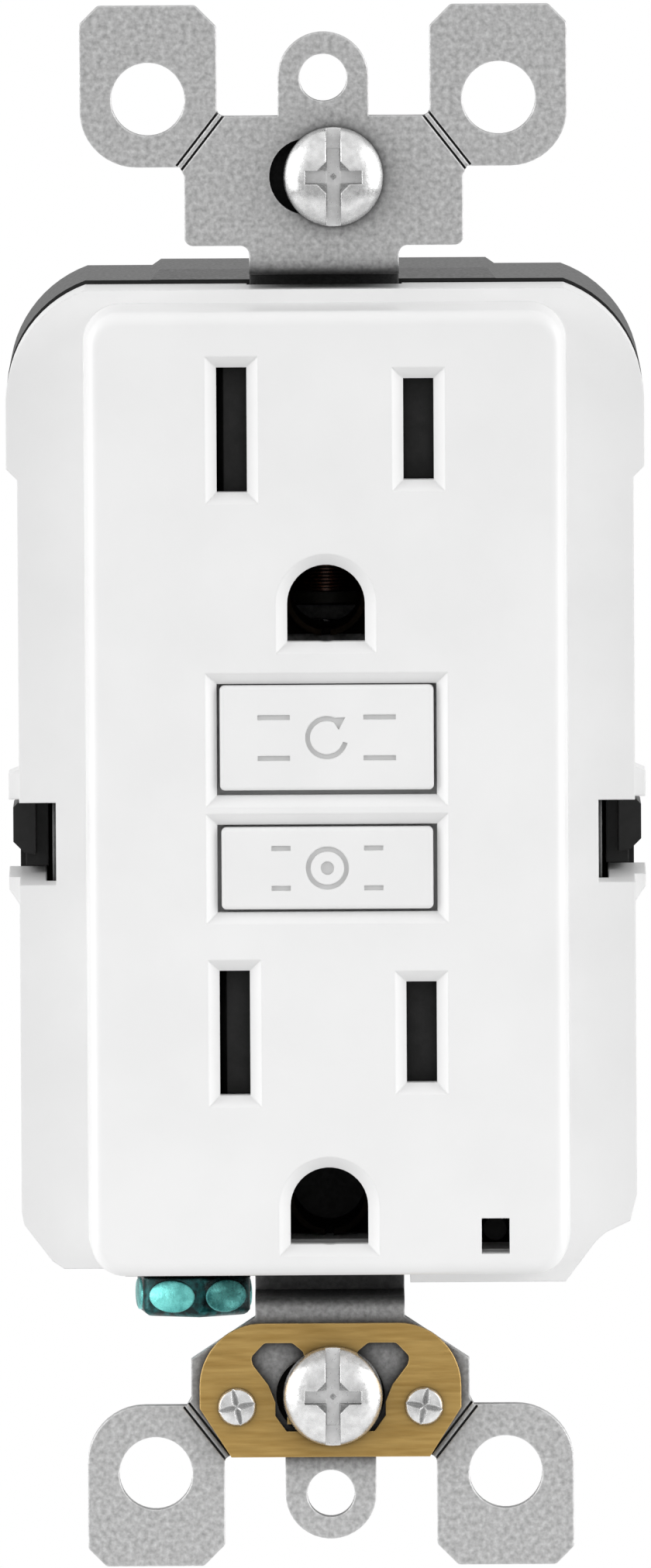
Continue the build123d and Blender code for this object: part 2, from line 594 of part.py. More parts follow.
# ---------------------------------------------------------------- circuit board and its components
with BuildPart() as circuit_board:
    slab((-18.40, 18.40), (BOARD_FRONT, BOARD_REAR), (-31.0, 31.5))
    for screw_x, screw_z in ASSEMBLY_SCREWS:
        outward = 1 if screw_z > 0 else -1
        edge = tuple(sorted((screw_z - outward * 3.5, outward * 33.0)))
        slab(span(1 if screw_x > 0 else -1, 12.30, 20.0), (22, 26), edge, mode=CUT)
    for side in (-1, 1):
        for middle in TERMINAL_Z.values():
            slab(span(side, 14.0, 20.0), (22, 26), (middle - 5.0, middle + 5.0), mode=CUT)
finish(circuit_board, "circuit_board")

with BuildPart() as control_chip:
    slab((-14.5, -8.5), (BOARD_FRONT - 1.6, BOARD_FRONT), (0.5, 9.0))
    chamfer(control_chip.faces().sort_by(Axis.Y)[0].edges(), 0.3)
finish(control_chip, "control_chip")

with BuildPart() as thyristor:
    with BuildSketch(level(BOARD_FRONT)):
        with Locations((13.6, -0.8)):
            Circle(2.30)
        with Locations((13.6, -2.9)):
            Rectangle(5.0, 2.2, mode=CUT)
    extrude(amount=4.8)
finish(thyristor, "thyristor")

with BuildPart() as capacitor:
    rod_y(-9.2, 26.5, (13.60, BOARD_FRONT), 3.20)
    fillet(capacitor.faces().sort_by(Axis.Y)[0].edges(), 0.5)
finish(capacitor, "capacitor")

with BuildPart() as surge_varistor:
    rod_x(18.2, 24.0, (6.60, 10.40), 4.60)
    fillet(surge_varistor.edges().filter_by(GeomType.CIRCLE), 1.0)
finish(surge_varistor, "surge_varistor")

with BuildPart() as resistors:
    for row in range(6):
        rod_x(BOARD_REAR + 0.9, -18.0 + 7.0 * row, (-2.6, 2.6), 0.85)
finish(resistors, "resistors")

with BuildPart() as status_led:
    slab((INDICATOR_X - 0.9, INDICATOR_X + 0.9), (20.90, BOARD_FRONT), (INDICATOR_Z - 0.8, INDICATOR_Z + 0.8))
finish(status_led, "status_led")

with BuildPart() as light_pipe:
    rod_y(INDICATOR_X, INDICATOR_Z, (-1.5, 20.70), 0.80)
finish(light_pipe, "light_pipe")

# ---------------------------------------------------------------- rear housing and the screws through it
with BuildPart() as rear_housing:
    with BuildSketch(level(HOUSING_REAR_Y)):
        add(body_outline(HOUSING_TOP_Z))
        with BuildLine():
            Polyline((-11.85, 30.0), (-11.85, HOUSING_TOP_Z), (-11.25, HOUSING_RIB_TOP_Z),
                     (11.15, HOUSING_RIB_TOP_Z), (11.75, HOUSING_TOP_Z), (11.75, 30.0), close=True)
        make_face()
    extrude(amount=HOUSING_REAR_Y - HOUSING_FRONT_Y)
    with BuildSketch(Plane.YZ.offset(-12.0)):
        with BuildLine():
            Polyline((HOUSING_FRONT_Y - 0.1, HOUSING_TOP_Z + 0.01), (HOUSING_RIB_RAMP_Y, HOUSING_RIB_TOP_Z),
                     (HOUSING_RIB_RAMP_Y, HOUSING_RIB_TOP_Z + 1), (HOUSING_FRONT_Y - 0.1, HOUSING_RIB_TOP_Z + 1),
                     close=True)
        make_face()
    extrude(amount=24.0, mode=CUT)
    chamfer(rear_housing.faces().sort_by(Axis.Y)[-1].edges(), HOUSING_BACK_BEVEL)
    with BuildSketch(level(HOUSING_INNER_Y)):
        add(body_outline(HOUSING_TOP_Z))
        offset(amount=-HOUSING_WALL, kind=Kind.INTERSECTION)
    extrude(amount=HOUSING_INNER_Y - HOUSING_FRONT_Y, mode=CUT)
    for post_x, post_z in ASSEMBLY_SCREWS:
        rod_y(post_x, post_z, (HOUSING_FRONT_Y, HOUSING_INNER_Y + 0.5), 3.20)
        rod_y(post_x, post_z, (HOUSING_FRONT_Y - 1, HOUSING_REAR_Y + 1), 1.60, mode=CUT)
        rod_y(post_x, post_z, (26.20, HOUSING_REAR_Y + 1), 2.60, mode=CUT)
    for side in (-1, 1):
        # snap tab that fills the cover's side notch
        slab(span(side, 19.05, 20.60), (4.50, HOUSING_FRONT_Y + 2), (-5.60, -1.10))
        with BuildSketch(level(HOUSING_FRONT_Y + 2)):
            with BuildLine():
                Polyline((side * 19.90, -1.10), (side * 21.05, -1.10), (side * 21.45, -1.50),
                         (side * 21.45, -3.85), (side * 20.70, -4.60), (side * 19.90, -4.75), close=True)
            make_face()
        extrude(amount=HOUSING_FRONT_Y + 2 - 2.80)
        for middle in TERMINAL_Z.values():
            slab(span(side, 19.0, 23.0), (10.30, 19.70), (middle - 4.70, middle + 4.70), mode=CUT)
            for wire_z in (middle - 3.3, middle + 3.3):
                rod_y(side * 16.35, wire_z, (HOUSING_INNER_Y - 1, HOUSING_REAR_Y + 1), 1.50, mode=CUT)
    slab((GROUND_SCREW_X - 2.8, GROUND_SCREW_X + 2.8), (7.0, 13.2), (-34.0, -31.0), mode=CUT)
finish(rear_housing, "rear_housing")

with BuildPart() as assembly_screws:
    for screw_x, screw_z in ASSEMBLY_SCREWS:
        rod_y(screw_x, screw_z, (26.20, 28.20), 2.40)
        rod_y(screw_x, screw_z, (3.0, 26.30), ASSEMBLY_SCREW_R)
        slab((screw_x - 1.5, screw_x + 1.5), (27.2, 28.4), (screw_z - 0.35, screw_z + 0.35), mode=CUT)
        slab((screw_x - 0.35, screw_x + 0.35), (27.2, 28.4), (screw_z - 1.5, screw_z + 1.5), mode=CUT)
finish(assembly_screws, "assembly_screws")

# ---------------------------------------------------------------- wire terminals
for name, side in (("hot", 1), ("neutral", -1)):
    for circuit, middle in TERMINAL_Z.items():
        with BuildPart() as clamp:
            slab(span(side, 16.0, 17.5), (10.90, 19.10), (middle - 4.10, middle + 4.10))
            chamfer(clamp.edges().filter_by(Axis.X), 0.6)
            rod_x(TERMINAL_Y, middle, span(side, 15, 18), TERMINAL_SHANK_R + 0.10, mode=CUT)
        finish(clamp, f"clamp_{name}_{circuit}")

        with BuildPart() as terminal_screw:
            rod_x(TERMINAL_Y, middle, span(side, 18.70, 21.10), 4.10)
            rod_x(TERMINAL_Y, middle, span(side, 13.20, 18.80), TERMINAL_SHANK_R)
            outer = span(side, 20.0, 21.3)
            slab(outer, (TERMINAL_Y - 4.2, TERMINAL_Y + 4.2), (middle - 0.6, middle + 0.6), mode=CUT)
            slab(outer, (TERMINAL_Y - 0.6, TERMINAL_Y + 0.6), (middle - 2.2, middle + 2.2), mode=CUT)
        finish(terminal_screw, f"screw_{name}_{circuit}")
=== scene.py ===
"""Looks of a ground-fault receptacle: finishes for the CAD pieces and detailed meshes for the ones that need them."""
import json
import math

import bmesh
import bpy
from mathutils import Matrix, Vector


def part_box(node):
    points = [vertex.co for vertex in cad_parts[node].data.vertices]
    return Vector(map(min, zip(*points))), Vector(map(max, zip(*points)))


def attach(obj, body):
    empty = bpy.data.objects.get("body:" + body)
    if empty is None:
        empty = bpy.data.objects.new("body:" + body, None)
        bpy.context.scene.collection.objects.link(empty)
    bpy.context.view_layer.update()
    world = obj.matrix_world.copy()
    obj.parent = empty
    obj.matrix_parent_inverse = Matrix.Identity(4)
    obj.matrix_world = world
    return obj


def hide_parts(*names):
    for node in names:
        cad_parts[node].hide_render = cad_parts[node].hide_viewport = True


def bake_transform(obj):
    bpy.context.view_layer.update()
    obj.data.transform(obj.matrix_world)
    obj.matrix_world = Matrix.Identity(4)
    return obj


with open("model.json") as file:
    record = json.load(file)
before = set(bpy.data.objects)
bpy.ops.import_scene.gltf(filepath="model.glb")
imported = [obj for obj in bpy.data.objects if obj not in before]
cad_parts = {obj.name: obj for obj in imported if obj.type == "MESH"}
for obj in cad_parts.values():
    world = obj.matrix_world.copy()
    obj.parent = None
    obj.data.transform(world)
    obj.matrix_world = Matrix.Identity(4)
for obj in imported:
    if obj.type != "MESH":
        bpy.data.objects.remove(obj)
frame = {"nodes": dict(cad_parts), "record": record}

nodes = frame["nodes"]
body_of_node = {node: body for body, held in frame["record"]["behaviour"]["bodies"].items() for node in held}
slot_of_node = {entry["node"]: entry["material_slot"] for entry in frame["record"]["subparts"]}
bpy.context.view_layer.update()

MM = 0.001
MERGE_DISTANCE = 1e-7
THREAD_PITCH = 0.794
FACING_OUT = Matrix.Rotation(math.radians(90), 4, "X")


# ---------------------------------------------------------------- shader groups shared by the finishes
def start_group(name, inputs, outputs):
    """A shader group with named sockets; each input is (name, kind, default)."""
    group = bpy.data.node_groups.new(name, "ShaderNodeTree")
    for socket, kind, default in inputs:
        made = group.interface.new_socket(socket, in_out="INPUT", socket_type="NodeSocket" + kind)
        made.default_value = default
    for socket, kind in outputs:
        group.interface.new_socket(socket, in_out="OUTPUT", socket_type="NodeSocket" + kind)
    return group, group.nodes.new("NodeGroupInput"), group.nodes.new("NodeGroupOutput")


def shaped_noise(group, entry, detail):
    """Noise on Object coordinates, stretched and scaled by the group's own inputs."""
    place = group.nodes.new("ShaderNodeTexCoord")
    mapping = group.nodes.new("ShaderNodeMapping")
    noise = group.nodes.new("ShaderNodeTexNoise")
    noise.inputs["Detail"].default_value = detail
    group.links.new(place.outputs["Object"], mapping.inputs["Vector"])
    group.links.new(entry.outputs["Stretch"], mapping.inputs["Scale"])
    group.links.new(mapping.outputs["Vector"], noise.inputs["Vector"])
    group.links.new(entry.outputs["Scale"], noise.inputs["Scale"])
    return noise


def make_mottle():
    """Two colours in soft patches, with the share of the second colour as a mask."""
    inputs = [("Dark", "Color", (0, 0, 0, 1)), ("Light", "Color", (1, 1, 1, 1)), ("Scale", "Float", 500.0),
              ("Stretch", "Vector", (1, 1, 1)), ("From", "Float", 0.35), ("To", "Float", 0.65)]
    group, entry, leave = start_group("mottle", inputs, [("Colour", "Color"), ("Mask", "Float")])
    noise = shaped_noise(group, entry, 5.0)
    spread = group.nodes.new("ShaderNodeMapRange")
    blend = group.nodes.new("ShaderNodeMix")
    blend.data_type = "RGBA"
    group.links.new(noise.outputs["Fac"], spread.inputs["Value"])
    group.links.new(entry.outputs["From"], spread.inputs["From Min"])
    group.links.new(entry.outputs["To"], spread.inputs["From Max"])
    group.links.new(spread.outputs["Result"], blend.inputs["Factor"])
    group.links.new(entry.outputs["Dark"], blend.inputs["A"])
    group.links.new(entry.outputs["Light"], blend.inputs["B"])
    group.links.new(blend.outputs["Result"], leave.inputs["Colour"])
    group.links.new(spread.outputs["Result"], leave.inputs["Mask"])
    return group


def make_relief():
    """Fine surface relief: a height for a bump and a roughness that varies with it."""
    inputs = [("Scale", "Float", 4000.0), ("Stretch", "Vector", (1, 1, 1)),
              ("Rough Low", "Float", 0.3), ("Rough High", "Float", 0.45)]
    group, entry, leave = start_group("relief", inputs, [("Height", "Float"), ("Roughness", "Float")])
    noise = shaped_noise(group, entry, 3.0)
    spread = group.nodes.new("ShaderNodeMapRange")
    spread.inputs["From Min"].default_value = 0.3
    spread.inputs["From Max"].default_value = 0.7
    group.links.new(noise.outputs["Fac"], spread.inputs["Value"])
    group.links.new(entry.outputs["Rough Low"], spread.inputs["To Min"])
    group.links.new(entry.outputs["Rough High"], spread.inputs["To Max"])
    group.links.new(noise.outputs["Fac"], leave.inputs["Height"])
    group.links.new(spread.outputs["Result"], leave.inputs["Roughness"])
    return group


def make_edges():
    """Rounded-edge normal, and a mask that is high close to an edge, used for painted highlights along edges."""
    inputs = [("Radius", "Float", 0.0002), ("Gain", "Float", 4.0)]
    group, entry, leave = start_group("edges", inputs, [("Normal", "Vector"), ("Mask", "Float")])
    rounding = group.nodes.new("ShaderNodeBevel")
    rounding.samples = 4
    surface = group.nodes.new("ShaderNodeNewGeometry")
    turn = group.nodes.new("ShaderNodeVectorMath")
    turn.operation = "DOT_PRODUCT"
    away = group.nodes.new("ShaderNodeMath")
    away.operation = "SUBTRACT"
    away.inputs[0].default_value = 1.0
    strong = group.nodes.new("ShaderNodeMath")
    strong.operation = "MULTIPLY"
    strong.use_clamp = True
    group.links.new(entry.outputs["Radius"], rounding.inputs["Radius"])
    group.links.new(rounding.outputs["Normal"], turn.inputs[0])
    group.links.new(surface.outputs["True Normal"], turn.inputs[1])
    group.links.new(turn.outputs["Value"], away.inputs[1])
    group.links.new(away.outputs["Value"], strong.inputs[0])
    group.links.new(entry.outputs["Gain"], strong.inputs[1])
    group.links.new(rounding.outputs["Normal"], leave.inputs["Normal"])
    group.links.new(strong.outputs["Value"], leave.inputs["Mask"])
    return group


def make_crevice_shade():
    """Mask of narrow and covered places, where painted shade is laid in."""
    inputs = [("Distance", "Float", 0.002), ("Power", "Float", 1.5)]
    group, entry, leave = start_group("crevices", inputs, [("Mask", "Float")])
    openness = group.nodes.new("ShaderNodeAmbientOcclusion")
    openness.samples = 8
    curve = group.nodes.new("ShaderNodeMath")
    curve.operation = "POWER"
    turned = group.nodes.new("ShaderNodeMath")
    turned.operation = "SUBTRACT"
    turned.use_clamp = True
    turned.inputs[0].default_value = 1.0
    group.links.new(entry.outputs["Distance"], openness.inputs["Distance"])
    group.links.new(openness.outputs["AO"], curve.inputs[0])
    group.links.new(entry.outputs["Power"], curve.inputs[1])
    group.links.new(curve.outputs["Value"], turned.inputs[1])
    group.links.new(turned.outputs["Value"], leave.inputs["Mask"])
    return group


MOTTLE = make_mottle()
RELIEF = make_relief()
EDGES = make_edges()
CREVICE_SHADE = make_crevice_shade()


# ---------------------------------------------------------------- finishes
def grey(level):
    """Opaque neutral colour."""
    return (level, level, level, 1.0)


def place_group(tree, group, values):
    """Puts a shader group in a material and sets its inputs by name."""
    node = tree.nodes.new("ShaderNodeGroup")
    node.node_tree = group
    for socket, value in values.items():
        node.inputs[socket].default_value = value
    return node


def finish(name, dark, light, metallic=0.0, patch=500.0, spread=(0.35, 0.65), stretch=(1, 1, 1), rough=(0.3, 0.45),
           grain=4000.0, bump=0.02, round_edge=0.12, edge_highlight=0.0, coat=0.0, specular=0.5, shade=0.0,
           shade_power=1.5):
    """One finish: mottled colour, painted highlight along edges, painted shade in crevices within a distance in mm,
    relief, rounded edges.
    """
    material = bpy.data.materials.new(name)
    material.use_nodes = True
    tree = material.node_tree
    shader = tree.nodes["Principled BSDF"]
    shader.inputs["Metallic"].default_value = metallic
    shader.inputs["Coat Weight"].default_value = coat
    shader.inputs["Coat Roughness"].default_value = 0.15
    shader.inputs["Specular IOR Level"].default_value = specular
    mottle = place_group(tree, MOTTLE, {"Dark": dark, "Light": light, "Scale": patch, "From": spread[0],
                                        "To": spread[1], "Stretch": stretch})
    relief = place_group(tree, RELIEF, {"Scale": grain, "Stretch": stretch, "Rough Low": rough[0],
                                        "Rough High": rough[1]})
    edges = place_group(tree, EDGES, {"Radius": round_edge * MM, "Gain": edge_highlight})
    # painted highlight: a lighter copy of the colour mixed in close to edges
    painted_edge_highlight = tree.nodes.new("ShaderNodeMix")
    painted_edge_highlight.data_type = "RGBA"
    painted_edge_highlight.inputs["B"].default_value = tuple(min(1.0, c * 1.35 + 0.08) for c in light[:3]) + (1.0,)
    bumps = tree.nodes.new("ShaderNodeBump")
    bumps.inputs["Strength"].default_value = 1.0
    bumps.inputs["Distance"].default_value = bump * MM
    tree.links.new(mottle.outputs["Colour"], painted_edge_highlight.inputs["A"])
    tree.links.new(edges.outputs["Mask"], painted_edge_highlight.inputs["Factor"])
    # painted shade: the colour darkened almost to black in crevices and covered places
    if shade:
        crevices = place_group(tree, CREVICE_SHADE, {"Distance": shade * MM, "Power": shade_power})
        darken = tree.nodes.new("ShaderNodeMix")
        darken.data_type = "RGBA"
        darken.inputs["B"].default_value = tuple(0.02 * c for c in dark[:3]) + (1.0,)
        tree.links.new(painted_edge_highlight.outputs["Result"], darken.inputs["A"])
        tree.links.new(crevices.outputs["Mask"], darken.inputs["Factor"])
        tree.links.new(darken.outputs["Result"], shader.inputs["Base Color"])
    else:
        tree.links.new(painted_edge_highlight.outputs["Result"], shader.inputs["Base Color"])
    tree.links.new(relief.outputs["Roughness"], shader.inputs["Roughness"])
    tree.links.new(relief.outputs["Height"], bumps.inputs["Height"])
    tree.links.new(edges.outputs["Normal"], bumps.inputs["Normal"])
    tree.links.new(bumps.outputs["Normal"], shader.inputs["Normal"])
    return material


def rgb(red, green, blue):
    """Opaque colour."""
    return (red, green, blue, 1.0)


# In the finishes below, shade sets how far the painted shade in crevices reaches, in mm, and the edge gain sets the
# painted highlight along edges.
FINISH = {
    "white_plastic": finish("white_plastic", grey(0.80), grey(0.83), patch=120, rough=(0.34, 0.42), bump=0.004,
                            round_edge=0.15, edge_highlight=1.5),
    "housing_plastic": finish("housing_plastic", grey(0.005), grey(0.009), patch=900, rough=(0.34, 0.46), bump=0.008,
                              specular=0.33),
    "tray_plastic": finish("tray_plastic", grey(0.006), grey(0.010), patch=900, rough=(0.45, 0.6), bump=0.01,
                           specular=0.2),
    "shutter_plastic": finish("shutter_plastic", grey(0.042), grey(0.060), patch=900, rough=(0.35, 0.45),
                              specular=0.2, shade=4.0, shade_power=1.6),
    "strap_steel": finish("strap_steel", grey(0.32), grey(0.72), metallic=0.62, patch=2800, spread=(0.22, 0.78),
                          rough=(0.34, 0.56), grain=6000, bump=0.018, edge_highlight=2.6, round_edge=0.20, shade=4.2,
                          shade_power=2.2),
    "clip_brass": finish("clip_brass", rgb(0.36, 0.215, 0.055), rgb(0.58, 0.385, 0.13), metallic=0.72, patch=3200,
                         spread=(0.20, 0.80), stretch=(0.09, 1, 1), rough=(0.28, 0.46), grain=6000, bump=0.010,
                         edge_highlight=2.4, round_edge=0.14, shade=2.2, shade_power=1.4),
    "contact_brass": finish("contact_brass", rgb(0.50, 0.33, 0.11), rgb(0.66, 0.46, 0.19), metallic=0.9,
                            patch=600, stretch=(1, 1, 0.1), rough=(0.25, 0.4), bump=0.004, shade=3.0,
                            shade_power=1.2),
    "screw_zinc": finish("screw_zinc", grey(0.66), grey(0.93), metallic=0.92, patch=1500, spread=(0.3, 0.7),
                         rough=(0.20, 0.34), bump=0.008, edge_highlight=2.2, round_edge=0.12, shade=0.7,
                         shade_power=0.9),
    "brass_screw": finish("brass_screw", rgb(0.58, 0.40, 0.15), rgb(0.76, 0.57, 0.27), metallic=0.9, patch=700,
                          rough=(0.22, 0.36), bump=0.006, edge_highlight=0.8, round_edge=0.08, shade=1.2),
    # painted shade: the ground screw's green paint made nearly black on the hex body between the pads
    "green_screw": finish("green_screw", rgb(0.0, 0.012, 0.013), rgb(0.008, 0.15, 0.15), metallic=0.5, patch=1500,
                          spread=(0.40, 0.70), rough=(0.22, 0.4), bump=0.01, edge_highlight=0.5, shade=1.6,
                          shade_power=2.2),
    "copper": finish("copper", rgb(0.60, 0.27, 0.14), rgb(0.74, 0.38, 0.22), metallic=0.95, patch=700,
                     rough=(0.2, 0.35)),
    "contact_silver": finish("contact_silver", grey(0.78), grey(0.88), metallic=0.95, patch=800, rough=(0.2, 0.3)),
    "spring_steel": finish("spring_steel", grey(0.42), grey(0.52), metallic=0.95, patch=1200, rough=(0.2, 0.32)),
    "coil_wire": finish("coil_wire", rgb(0.22, 0.055, 0.018), rgb(0.34, 0.10, 0.035), metallic=0.6, patch=800,
                        rough=(0.22, 0.34), coat=0.4, shade=3.0, shade_power=1.5),
    "core_ferrite": finish("core_ferrite", grey(0.035), grey(0.06), patch=2500, rough=(0.6, 0.8), bump=0.02),
    "board_laminate": finish("board_laminate", rgb(0.01, 0.10, 0.035), rgb(0.02, 0.17, 0.06), patch=300,
                             spread=(0.48, 0.52), rough=(0.25, 0.35), coat=0.4),
    "component_black": finish("component_black", grey(0.018), grey(0.028), patch=1500, rough=(0.4, 0.55)),
    "component_blue": finish("component_blue", rgb(0.01, 0.04, 0.26), rgb(0.02, 0.07, 0.36), patch=500,
                             rough=(0.2, 0.3), coat=0.5),
    "resistor_body": finish("resistor_body", rgb(0.50, 0.36, 0.20), rgb(0.62, 0.48, 0.30), patch=1500,
                            rough=(0.25, 0.35), coat=0.5),
    "clear_plastic": finish("clear_plastic", grey(0.004), grey(0.006), patch=500, rough=(0.3, 0.4), specular=0.15),
    "bobbin_plastic": finish("bobbin_plastic", rgb(0.40, 0.37, 0.28), rgb(0.46, 0.43, 0.34), patch=900,
                             rough=(0.4, 0.55), shade=4.0, shade_power=2.0),
    "washer_fibre": finish("washer_fibre", grey(0.006), grey(0.012), patch=2500, rough=(0.6, 0.8), bump=0.02,
                           specular=0.15),
}
# painted light and painted shade: bright and dark copies of the screw metal for the floors and walls of recesses
RECESS_FLOOR_LIT = finish("recess_floor_painted_light", grey(0.80), grey(0.95), metallic=0.7, patch=1500, rough=(0.25, 0.4), bump=0.006)
RECESS_WALL_SHADED = finish("recess_wall_painted_shade", grey(0.06), grey(0.16), metallic=0.8, patch=1500, rough=(0.3, 0.45), bump=0.004)
# painted shade: the ground contacts made near black so the ground holes look dark inside
GROUND_CONTACT_SHADED = finish("ground_contact_painted_shade", rgb(0.016, 0.010, 0.005), rgb(0.030, 0.019, 0.010), metallic=0.5, patch=600,
                       rough=(0.45, 0.6), specular=0.1, shade=5.0, shade_power=2.5)
# painted light: the same green paint made bright on the screw's pads
GREEN_PAD_LIT = finish("green_pad_lit", rgb(0.015, 0.22, 0.22), rgb(0.20, 0.74, 0.70), metallic=0.45, patch=800,
                   spread=(0.34, 0.60), rough=(0.2, 0.36), bump=0.02, edge_highlight=1.2)
# painted shade: the floors of the engraved marks made grey
MARK_FLOOR_SHADED = finish("mark_floor_painted_shade", grey(0.56), grey(0.60), patch=500, rough=(0.45, 0.55), bump=0.003)

# the ground contacts take the painted-shade finish in place of brass
for node, piece in nodes.items():
    piece.data.materials.clear()
    piece.data.materials.append(GROUND_CONTACT_SHADED if node == "ground_contacts" else FINISH[slot_of_node[node]])


# ---------------------------------------------------------------- building new pieces
def new_piece(name, shape, node, replaced=(), rides=True, materials=None, crease=35):
    """Turns a bmesh into a finished piece with creased edges, and says what it rides on and stands for."""
    bmesh.ops.recalc_face_normals(shape, faces=shape.faces[:])
    for face in shape.faces:
        face.smooth = True
    for edge in shape.edges:
        edge.smooth = len(edge.link_faces) == 2 and edge.calc_face_angle(math.pi) < math.radians(crease)
    mesh = bpy.data.meshes.new(name)
    shape.to_mesh(mesh)
    shape.free()
    piece = bpy.data.objects.new(name, mesh)
    bpy.context.scene.collection.objects.link(piece)
    for material in materials or [FINISH[slot_of_node[node]]]:
        mesh.materials.append(material)
    if rides:
        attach(piece, body_of_node[node])
    if replaced:
        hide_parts(*replaced)
    return piece


def add_box(shape, low, high):
    """Box between two corners, in millimetres."""
    low, high = Vector(low) * MM, Vector(high) * MM
    made = bmesh.ops.create_cube(shape, size=1.0)["verts"]
    bmesh.ops.scale(shape, vec=high - low, verts=made)
    bmesh.ops.translate(shape, vec=(low + high) / 2, verts=made)


def add_turned(shape, outline, steps=48):
    """Turned solid about +Z from (radius, height) points in millimetres that start and end on the axis."""
    points = [shape.verts.new((radius * MM, 0, height * MM)) for radius, height in outline]
    lines = [shape.edges.new(pair) for pair in zip(points, points[1:])]
    bmesh.ops.spin(shape, geom=points + lines, cent=(0, 0, 0), axis=(0, 0, 1), dvec=(0, 0, 0),
                   angle=math.tau, steps=steps, use_merge=True)
    bmesh.ops.remove_doubles(shape, verts=shape.verts[:], dist=MERGE_DISTANCE)


def close_end(shape, made):
    """Fills the open end that a spin has left."""
    bmesh.ops.contextual_create(shape, geom=[g for g in made["geom_last"] if isinstance(g, bmesh.types.BMEdge)])


def add_arc_bar(shape, inner, outer, half_depth, start, sweep):
    """Bar of rectangular section bent round +Z, in millimetres, from one angle through another."""
    section = [(inner, -half_depth), (outer, -half_depth), (outer, half_depth), (inner, half_depth)]
    points = [shape.verts.new((radius * MM, 0, height * MM)) for radius, height in section]
    first = shape.faces.new(points)
    bmesh.ops.rotate(shape, verts=points, cent=(0, 0, 0), matrix=Matrix.Rotation(start, 3, "Z"))
    lines = list(first.edges)
    if sweep >= math.tau:
        bmesh.ops.delete(shape, geom=[first], context="FACES_ONLY")
        bmesh.ops.spin(shape, geom=points + lines, cent=(0, 0, 0), axis=(0, 0, 1), dvec=(0, 0, 0), angle=sweep,
                       steps=48, use_merge=True)
        return
    made = bmesh.ops.spin(shape, geom=points + lines, cent=(0, 0, 0), axis=(0, 0, 1), dvec=(0, 0, 0),
                          angle=sweep, steps=40)
    close_end(shape, made)


def add_thread(shape, crest, start, end):
    """Helical ridge of an outside thread along +Z, closed at both ends, in millimetres."""
    depth, foot, land = 0.62 * THREAD_PITCH, 0.46 * THREAD_PITCH, 0.07 * THREAD_PITCH
    sunk = crest - depth - 0.05
    ridge = [(sunk, -foot), (sunk, foot), (crest, land), (crest, -land)]
    points = [shape.verts.new((radius * MM, 0, (start + height) * MM)) for radius, height in ridge]
    lines = [shape.edges.new(pair) for pair in zip(points, points[1:] + points[:1])]
    turns = (end - start) / THREAD_PITCH
    steps = int(turns * 24)
    made = bmesh.ops.spin(shape, geom=points + lines, cent=(0, 0, 0), axis=(0, 0, 1),
                          dvec=(0, 0, (end - start) * MM / steps), angle=math.tau * turns, steps=steps)
    shape.faces.new(points)
    close_end(shape, made)


def add_coil(shape, middle, wire, start, end, turns, steps=28, around=8):
    """Coil along +Z with round wire, closed at both ends, in millimetres."""
    ring = bmesh.ops.create_circle(shape, cap_ends=True, radius=wire * MM, segments=around)["verts"]
    bmesh.ops.rotate(shape, verts=ring, cent=(0, 0, 0), matrix=FACING_OUT.to_3x3())
    bmesh.ops.translate(shape, verts=ring, vec=(middle * MM, 0, start * MM))
    lines = [edge for edge in shape.edges if edge.verts[0] in ring and edge.verts[1] in ring]
    made = bmesh.ops.spin(shape, geom=ring + lines, cent=(0, 0, 0), axis=(0, 0, 1),
                          dvec=(0, 0, (end - start) * MM / (turns * steps)), angle=math.tau * turns,
                          steps=turns * steps)
    close_end(shape, made)


def put(shape, turn, place):
    """Turns and then moves the whole shape; the place is in metres."""
    bmesh.ops.transform(shape, matrix=Matrix.Translation(place) @ turn, verts=shape.verts[:])
    return shape


def join(shape, other):
    """Adds another shape to this one."""
    mesh = bpy.data.meshes.new("joined")
    other.to_mesh(mesh)
    other.free()
    shape.from_mesh(mesh)
    bpy.data.meshes.remove(mesh)


def as_object(shape):
    """Passing object made from a shape, used once for carving."""
    bmesh.ops.recalc_face_normals(shape, faces=shape.faces[:])
    mesh = bpy.data.meshes.new("passing")
    shape.to_mesh(mesh)
    shape.free()
    passing = bpy.data.objects.new("passing", mesh)
    bpy.context.scene.collection.objects.link(passing)
    return passing


def carve(shape, tools):
    """Subtracts each tool shape from the shape and returns the result as a new shape."""
    target = as_object(shape)
    spent = [as_object(tool) for tool in tools]
    for tool in spent:
        cut = target.modifiers.new("cut", "BOOLEAN")
        cut.operation = "DIFFERENCE"
        cut.solver = "EXACT"
        cut.object = tool
    done = target.evaluated_get(bpy.context.evaluated_depsgraph_get())
    carved = bmesh.new()
    carved.from_mesh(done.to_mesh())
    done.to_mesh_clear()
    for passing in spent + [target]:
        bpy.data.objects.remove(passing)
    return carved


# ---------------------------------------------------------------- buttons with generic marks
MARK_DEPTH = 0.14
MARK_STROKE = 0.32
MARK_RADIUS = 1.30
BAR_START = 2.5
RESET_MARK_ROW, RESET_MARK_REACH = 1.39, 4.7
TEST_MARK_ROW, TEST_MARK_REACH = 1.36, 3.8


def bars_beside_mark(row, half_width):
    """Two engraved bars on each side of the middle mark, one in each row."""
    tool = bmesh.new()
    for side in (-1, 1):
        near, far = sorted((side * BAR_START, side * half_width))
        for line in (-row, row):
            add_box(tool, (near, line - MARK_STROKE / 2, -MARK_DEPTH), (far, line + MARK_STROKE / 2, MARK_DEPTH))
    return tool


